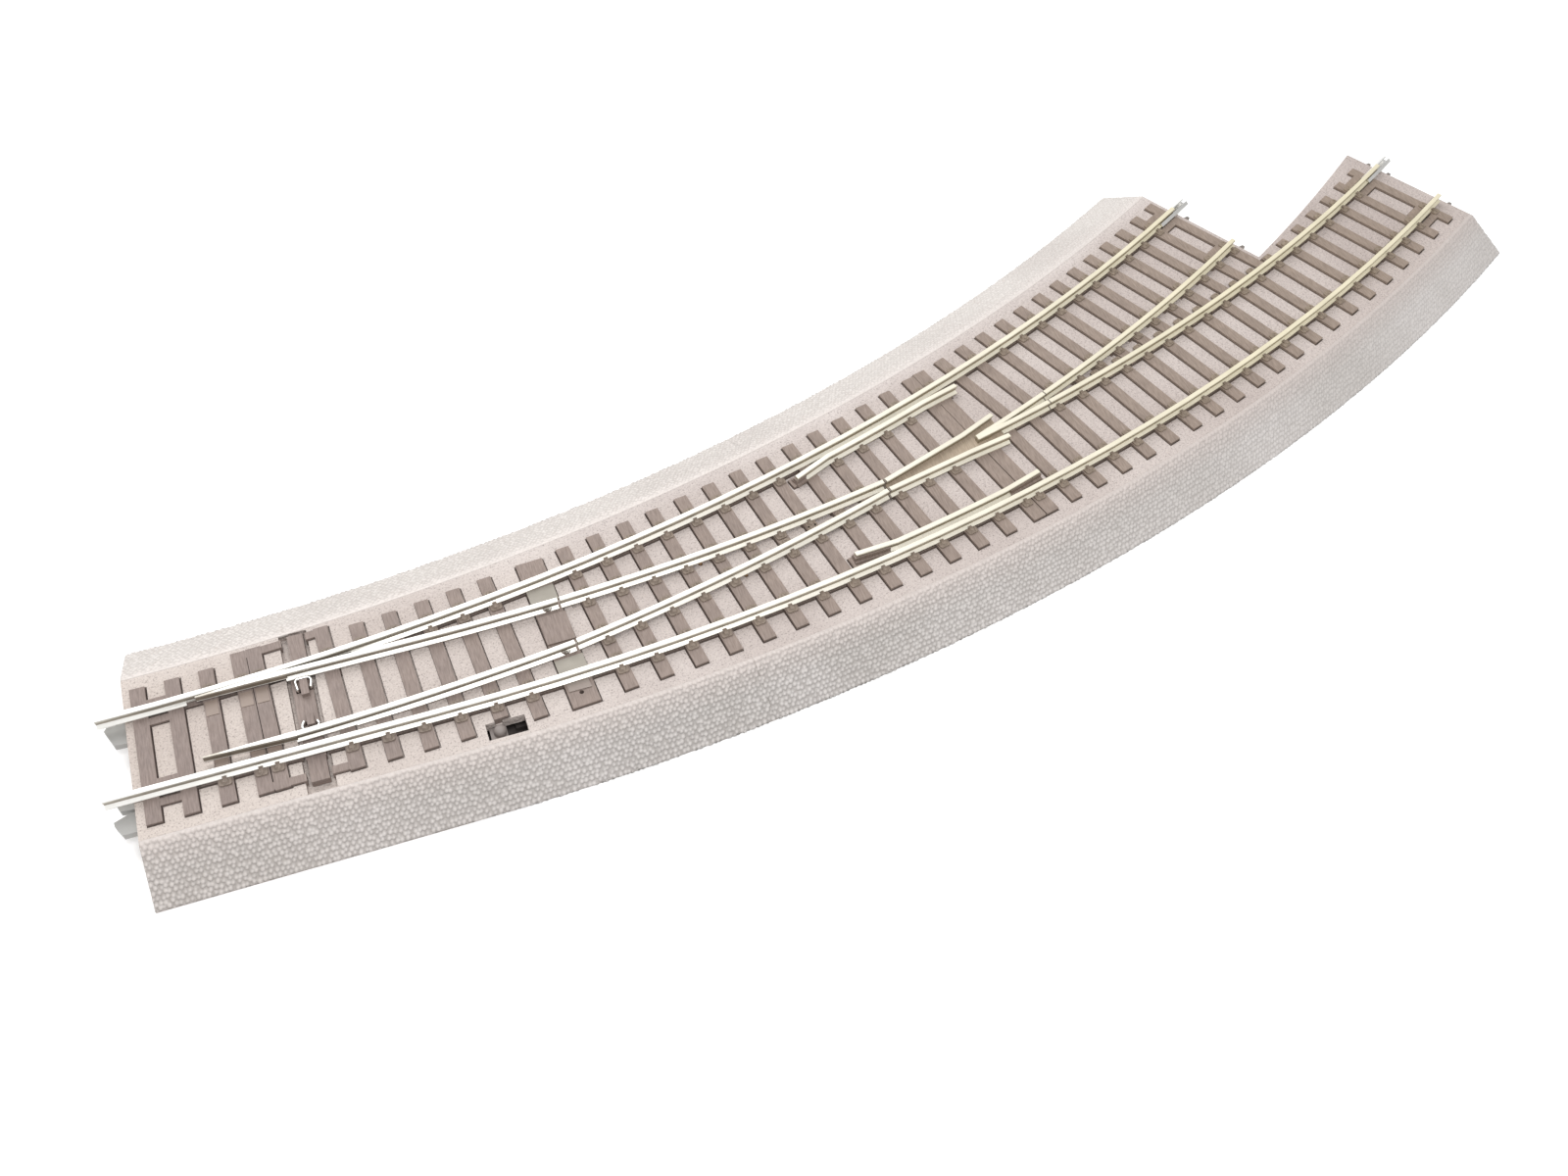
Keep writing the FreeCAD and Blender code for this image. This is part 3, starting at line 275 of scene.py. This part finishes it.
def sleeper_material(name, light, dark):
    """Moulded plastic with a wood grain along the sleeper."""
    m = Shader(name, rough=0.62, specular=0.4)
    grain = m.noise(0.30, detail=4.0, rough=0.6, vector=m.mapped(WOOD_SCALE, WOOD_TURN))
    patch = m.noise(5.0, detail=2.0)
    wood = m.ramp(grain, [(0.30, dark), (0.70, light)])
    cloud = m.ramp(patch, [(0.3, (0.93, 0.92, 0.92)), (0.7, (1.06, 1.05, 1.04))])
    colour = tint_with_x(m, m.times(wood, cloud), (1.13, 1.12, 1.02))
    return m.finish(colour, m.span(patch, 0.52, 0.72), m.bump(grain, distance_mm=0.10, strength=0.55))


def rail_material(name, painted_web_shade):
    """Drawn rail: painted light on the tops of the foot and head, painted shade on the foot's edge, the
    head's side and between foot and head, and a painted reflection that is whiter at the toe than at the
    branches.
    """
    m = Shader(name, rough=0.35, metallic=0.3, specular=0.5)
    # Painted light and shade across the rail's height: lit tops of foot and head, shaded foot edge, head
    # side and the part between them.
    painted_foot_edge_shade = (0.62, 0.58, 0.51)
    painted_head_side_shade = (0.60, 0.57, 0.52)
    painted_light_and_shade = m.ramp(m.along("Z", RAIL_BOTTOM, RAIL_TOP),
                     [(0.0, painted_foot_edge_shade), (0.06, WHITE), (0.27, WHITE), (0.32, painted_web_shade),
                      (0.72, painted_web_shade), (0.79, painted_head_side_shade), (0.92, painted_head_side_shade), (0.95, WHITE)])
    # Painted reflection: whiter at the toe, yellower towards the branches.
    length = m.ramp(m.along("X", 0.0, 260.0),
                    [(0.0, (0.88, 0.87, 0.84)), (0.40, (0.97, 0.94, 0.87)), (1.0, (0.87, 0.80, 0.60))])
    cloud = m.ramp(m.noise(7.0), [(0.3, (0.90, 0.90, 0.89)), (0.65, WHITE)])
    streaks = m.noise(0.5, rough=0.6, vector=m.mapped(STREAK_SCALE, STREAK_TURN))
    colour = m.times(m.times(length, painted_light_and_shade), cloud)
    return m.finish(colour, m.span(streaks, 0.26, 0.46), m.bump(streaks, distance_mm=0.012, strength=0.3))


def metal_material(name, tint, rough_low, rough_high):
    """Bare metal with fine streaks."""
    m = Shader(name, rough=0.3, metallic=1.0)
    streaks = m.noise(0.6, rough=0.6, vector=m.mapped(STREAK_SCALE, STREAK_TURN))
    darker = tuple(c * 0.86 for c in tint)
    colour = m.ramp(m.noise(9.0, detail=2.0), [(0.3, darker), (0.65, tint)])
    rough = m.span(streaks, rough_low, rough_high)
    return m.finish(colour, rough, m.bump(streaks, distance_mm=0.015, strength=0.3))


def heel_plate_material():
    """Dulled plates, those outside the outer rail as brown as the block they lie on."""
    m = Shader("heel_plate", rough=0.42, metallic=0.1, specular=0.4)
    grain = m.noise(0.5)
    dull = m.ramp(m.noise(4.0, detail=2.0), [(0.3, srgb(146, 140, 130)), (0.7, srgb(158, 152, 142))])
    colour = m.mix(m.along("Y", -10.0, -8.0), srgb(146, 134, 127), dull)
    return m.finish(colour, m.span(grain, 0.34, 0.55), m.bump(grain, distance_mm=0.01, strength=0.5))


def plastic_material(name, tint, rough=0.5, texture_mm=0.4, depth_mm=0.02):
    """Moulded plastic with a fine texture."""
    m = Shader(name, rough=rough, specular=0.4)
    grain = m.noise(texture_mm)
    darker = tuple(c * 0.85 for c in tint)
    colour = m.ramp(m.noise(4.0, detail=2.0), [(0.3, darker), (0.7, tint)])
    roughness = m.span(grain, rough - 0.1, rough + 0.12)
    return m.finish(colour, roughness, m.bump(grain, depth_mm, strength=0.5))


MATERIALS = {
    "ballast": ballast_material(),
    "pebbles_outer": pebble_material(
        "pebbles_outer",
        low_a=srgb(184, 179, 175), low_b=srgb(194, 189, 186), top=srgb(195, 186, 181),
        fade=(0.97, 0.96, 0.96), painted_gap_shade=(0.80, 0.79, 0.78),
        levels=[(0.0, (1.0, 0.975, 0.96)), (0.30, (0.97, 0.965, 0.965)), (1.0, grey(1.10))]),
    # A lighter copy of the outer pebbles: painted light on the slope inside the curve, which faces the
    # light, with fainter painted shade in its gaps.
    "pebbles_inner_painted_light": pebble_material(
        "pebbles_inner_painted_light",
        low_a=srgb(199, 193, 189), low_b=srgb(207, 202, 198), top=srgb(208, 200, 195),
        fade=WHITE, painted_gap_shade=(0.88, 0.87, 0.86),
        levels=[(0.0, (1.0, 0.99, 0.98)), (1.0, (1.0, 0.99, 0.98))]),
    "sleeper_plastic": sleeper_material("sleeper_plastic", srgb(151, 137, 131), srgb(123, 110, 104)),
    # A slightly darker copy of the sleeper plastic: painted shade on the chairs.
    "chairs_painted_shade": sleeper_material("chair_plastic_painted_shade", srgb(147, 134, 124), srgb(120, 108, 99)),
    "nickel_silver": rail_material("nickel_silver", (0.40, 0.36, 0.31)),
    # The blades get darker painted shade between foot and head than the rails.
    "blades": rail_material("blade_nickel_silver", (0.27, 0.23, 0.19)),
    "frog_plastic": sleeper_material("frog_plastic", srgb(172, 158, 143), srgb(148, 134, 120)),
    "insulator_plastic": plastic_material("insulator_plastic", srgb(150, 140, 130)),
    "slide_pad": plastic_material("slide_pad", srgb(150, 134, 124), 0.45, 0.3, 0.015),
    "heel_plate": heel_plate_material(),
    "joiner_sheet": metal_material("joiner_sheet", (0.90, 0.89, 0.86), 0.2, 0.35),
    "lug_plastic": plastic_material("lug_plastic", srgb(168, 167, 164)),
    "branch_lugs": plastic_material("branch_lug_plastic", srgb(128, 120, 114)),
    "steel": metal_material("steel", grey(0.62), 0.3, 0.45),
    "spring_bronze": metal_material("spring_bronze", (0.78, 0.55, 0.32), 0.25, 0.4),
    "drive_plastic": plastic_material("drive_plastic", srgb(74, 68, 66)),
    "knob_plastic": plastic_material("knob_plastic", srgb(140, 131, 127)),
    "bright_wire": metal_material("bright_wire", (0.96, 0.95, 0.92), 0.12, 0.22),
}

# Nodes whose finish differs from the one of their slot in the record.
OWN_FINISH = {
    "rail_chairs": "chairs_painted_shade",
    "branch_coupling_lugs": "branch_lugs",
    "switch_blade_outer_route": "blades",
    "switch_blade_inner_route": "blades",
}

for part in frame["record"]["subparts"]:
    node = frame["nodes"][part["node"]]
    node.data.materials.clear()
    node.data.materials.append(MATERIALS[OWN_FINISH.get(part["node"], part["material_slot"])])


# ---- soft edges on the moulded and stamped parts, widths in mm ------------------
EDGES = {
    "sleeper_grid": 0.10, "throw_bar": 0.12, "heel_cover": 0.10, "toe_coupling_lugs": 0.12,
    "branch_coupling_lugs": 0.12, "heel_plates": 0.05, "slide_pads": 0.04, "ballast_bedding": 0.22,
}

for node_name, width in EDGES.items():
    bevel = frame["nodes"][node_name].modifiers.new("edge", "BEVEL")
    bevel.width = width * MM
    bevel.segments = 2
    bevel.limit_method = "ANGLE"
    bevel.angle_limit = math.radians(40)


# ---- pebbled side slopes, in mm ------------------------------------------------
PEBBLE = 1.0              # spacing of the pebbles
ROW = 0.90                # spacing of their rows
STEP = 0.16               # mesh spacing
STONE = 0.49              # radius of a stone of size 1, in spacings
STONE_SIZES = (0.82, 1.08)       # smallest and largest
STONE_PLACES = (0.30, 0.70)      # where a stone's middle may lie in its cell, 0 to 1
TALLEST = 1.1             # height that no stone passes, as a share of the relief
SPARE_CELLS = 2           # cells of the pattern before the first one that is covered
PATTERN_SHIFT = 40.0      # moves the rows of the pattern across the slope
LIFT = 0.02               # the skin lies this far above the bedding
FULL_RELIEF = 0.3         # the stones are at full height from here down the slope
BEND = 0.8                # the skin turns over the shoulder this far on both sides of it
FOOT_GAP = 0.05           # the skin ends this far short of the foot of the slope
SKIN_DEPTH = 0.7          # how far the skin's upper end reaches down into the bedding
SKIN_INWARD = 1.0         # how far its lower end reaches sideways into it
FAINTER = 0.45            # share of the relief that is lost along X,
FAINTER_FROM = 130.0      # from this X
FAINTER_OVER = 170.0      # and over this length
SHADE_BEFORE = 0.2        # the shading of the gaps grows from this far before the shoulder's edge
SHADE_OVER = 3.0          # to full over this length,
LEAST_SHADE = 0.25        # and is nowhere less than this share


def pebble_heights(u, v, seed):
    """Rounded stones on a jittered grid: height 0 to TALLEST at plan coordinates u, v in mm."""
    rng = np.random.default_rng(seed)
    column = np.floor(u / PEBBLE).astype(int)
    row = np.floor(v / ROW).astype(int)
    first_row = row.min() - SPARE_CELLS
    count = (column.max() + SPARE_CELLS + 5, row.max() - first_row + 6)
    place = rng.uniform(*STONE_PLACES, (*count, 2))
    size = rng.uniform(*STONE_SIZES, count)
    best = np.full(u.shape, -1.0)
    for du in (-2, -1, 0, 1):
        for dv in (-1, 0, 1):
            iu, iv = column + du + SPARE_CELLS, row + dv - first_row
            stagger = 0.5 * ((row + dv) % 2)
            stone_u = (column + du + place[iu, iv, 0] + stagger) * PEBBLE
            stone_v = (row + dv + place[iu, iv, 1]) * ROW
            away = np.hypot(u - stone_u, v - stone_v) / (STONE * PEBBLE * size[iu, iv])
            best = np.maximum(best, size[iu, iv] * np.sqrt(np.clip(1 - away * away, 0.0, 1.0)))
    return np.clip(best, 0.0, TALLEST)


def outward_normals(mesh):
    shell = bmesh.new()
    shell.from_mesh(mesh)
    bmesh.ops.recalc_face_normals(shell, faces=shell.faces)
    shell.to_mesh(mesh)
    shell.free()


def grid_mesh(name, top, under):
    """Closed sheet: top is a (rows, columns, 3) grid in mm, under a (rows, 2, 3) pair of lower edges."""
    rows, columns = top.shape[:2]
    verts = np.concatenate([top.reshape(-1, 3), under.reshape(-1, 3)]) * MM
    ids = np.arange(rows * columns).reshape(rows, columns)
    low = rows * columns + np.arange(rows * 2).reshape(rows, 2)
    corners = [ids[:-1, :-1], ids[1:, :-1], ids[1:, 1:], ids[:-1, 1:]]
    faces = np.stack(corners, -1).reshape(-1, 4).tolist()
    for a, b in ((ids[:, 0], low[:, 0]), (low[:, 1], ids[:, -1]), (low[:, 0], low[:, 1])):
        faces += np.stack([a[:-1], b[:-1], b[1:], a[1:]], -1).tolist()
    faces.append(ids[0, :].tolist() + [int(low[0, 1]), int(low[0, 0])])
    faces.append(ids[-1, ::-1].tolist() + [int(low[-1, 0]), int(low[-1, 1])])
    mesh = bpy.data.meshes.new(name)
    mesh.from_pydata(verts.tolist(), [], faces)
    mesh.validate()
    obj = bpy.data.objects.new(name, mesh)
    bpy.context.scene.collection.objects.link(obj)
    outward_normals(mesh)
    mesh.shade_smooth()
    return obj


def slope(name, straight, side, begin, end, on_top, relief, seed):
    """Pebbled skin over a stretch of one side slope, side +1 for the inside of the curve.

    It starts on the level ballast, on_top before the shoulder's edge, and goes down to the foot.
    """
    length = math.hypot(BED_HALF - SHOULDER, BED_TOP)
    columns = int((length + on_top) / STEP)
    rows = int((end - begin) / STEP)
    ones = np.ones((rows, 1))
    across = np.linspace(-on_top, length - FOOT_GAP, columns)[None, :]
    down = np.clip(across / length, 0.0, 1.0)
    level = np.where(across < 0, across, 0.0)
    off = side * (SHOULDER + level + down * (BED_HALF - SHOULDER)) * ones
    z = (BED_TOP - down * BED_TOP) * ones

    # The face at the toe is square to X, so where the route already curves it cuts the stations aslant.
    first = begin
    if straight == 0 and begin == BED_FACE:
        first = RADIUS * np.arcsin(BED_FACE / (RADIUS - off))
    s = first + (end - first) * np.linspace(0.0, 1.0, rows)[:, None]
    x, y = route_point(straight, s, off)

    # Height of the stones, and the direction in which it is laid on.
    stones = pebble_heights(s * (RADIUS - off) / RADIUS, across * ones + PATTERN_SHIFT, seed)
    rise = np.clip((across + on_top) / (on_top + FULL_RELIEF), 0.0, 1.0)
    fainter = 1.0 - FAINTER * np.clip((x - FAINTER_FROM) / FAINTER_OVER, 0.0, 1.0)
    height = LIFT + relief * fainter * stones * rise
    turned = np.clip(s - straight, 0.0, RADIUS * CURVE) / RADIUS
    tilt = math.atan2(BED_TOP, BED_HALF - SHOULDER)
    lean = np.clip((across + BEND) / (2 * BEND), 0.0, 1.0) * (math.pi / 2 - tilt)
    out = side * np.sin(lean) * ones * height
    top = np.stack([x - np.sin(turned) * out, y + np.cos(turned) * out,
                    np.maximum(z + np.cos(lean) * height, LIFT)], -1)
    # Nothing goes past the CAD's box in plan.
    for k in (0, 1):
        low, high = cad_box[0][k] / MM, cad_box[1][k] / MM
        top[..., k] = np.clip(top[..., k], low, high)

    # The lower edges lie inside the bedding.
    under = top[:, [0, -1], :].copy()
    under[:, 0, 2] -= SKIN_DEPTH
    under[:, 1, 0] += side * SKIN_INWARD * np.sin(turned[:, -1])
    under[:, 1, 1] -= side * SKIN_INWARD * np.cos(turned[:, -1])
    obj = grid_mesh(name, top, under)

    # The material reads the height of the stones, which counts less near the shoulder, for painted shade
    # in the gaps and a painted highlight on the stones' tops.
    shown = np.clip((across + SHADE_BEFORE) / SHADE_OVER, LEAST_SHADE, 1.0)
    shade = np.concatenate([(1.0 - shown * (1.0 - stones)).ravel(), np.zeros(2 * rows)])
    obj.data.attributes.new("stone", "FLOAT", "POINT").data.foreach_set("value", shade)
    obj.data.materials.append(MATERIALS["pebbles_outer" if side < 0 else "pebbles_inner_painted_light"])
    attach(obj, "roadbed")


def slopes(side_name, straight, side, end, on_top, relief, count, seed):
    """The skin of one side slope in count pieces, numbered from the toe."""
    ends = np.linspace(BED_FACE, end, count + 1).tolist()
    for k in range(count):
        name = f"pebbled_slope_{side_name}_{k + 1}"
        slope(name, straight, side, ends[k], ends[k + 1], on_top, relief, seed)


slopes("outer", SPACING, -1, OUTER_END + BED_PAST, on_top=0.7, relief=0.32, count=3, seed=3)
slopes("inner", 0.0, 1, INNER_END + BED_PAST, on_top=0.3, relief=0.20, count=2, seed=5)

# ---- floor, light and camera, in metres ------------------------------------------
scene = bpy.context.scene
scene.view_settings.view_transform = "Standard"
CENTRE = (0.16, 0.03, 0.0)
FLOOR_HALF = 3.0
FLOOR_DROP = 0.0001       # keeps the floor clear of the bedding's flat base
FLOOR_GLOW = 0.12
WORLD_STRENGTH = 0.60


def floor():
    half = FLOOR_HALF
    corners = [(-half, -half, 0), (half, -half, 0), (half, half, 0), (-half, half, 0)]
    mesh = bpy.data.meshes.new("floor")
    mesh.from_pydata(corners, [], [(0, 1, 2, 3)])
    obj = bpy.data.objects.new("floor", mesh)
    scene.collection.objects.link(obj)
    obj.location = (0.15, 0.0, -FLOOR_DROP)
    m = Shader("floor_white", rough=0.9, specular=0.1)
    m.set(m.bsdf.inputs["Emission Color"], WHITE)
    m.set(m.bsdf.inputs["Emission Strength"], FLOOR_GLOW)
    tone = m.noise(400.0, detail=1.0)
    mesh.materials.append(m.finish(m.ramp(tone, [(0.3, grey(0.93)), (0.7, grey(0.95))])))


def area_light(name, where, size, power):
    """Square light that looks at the middle of the turnout."""
    data = bpy.data.lights.new(name, "AREA")
    data.size = size
    data.energy = power
    obj = bpy.data.objects.new(name, data)
    obj.location = where
    obj.rotation_euler = (Vector(CENTRE) - Vector(where)).to_track_quat("-Z", "Y").to_euler()
    scene.collection.objects.link(obj)


floor()
area_light("key", (0.0, 0.40, 0.48), size=0.45, power=2.3)
area_light("fill", (0.14, -0.27, 0.66), size=0.25, power=2.3)

world = bpy.data.worlds.new("studio")
scene.world = world
world.use_nodes = True
background = world.node_tree.nodes["Background"]
background.inputs["Color"].default_value = (*WHITE, 1.0)
background.inputs["Strength"].default_value = WORLD_STRENGTH

camera_data = bpy.data.cameras.new("camera")
camera_data.lens = 33.98
camera_data.sensor_width = 36.0
camera_data.clip_start = 0.01
camera = bpy.data.objects.new("camera", camera_data)
camera.location = (0.0614, -0.16595, 0.24785)
camera.rotation_euler = [math.radians(a) for a in (36.7237, -2.5611, -19.7655)]
scene.collection.objects.link(camera)
scene.camera = camera
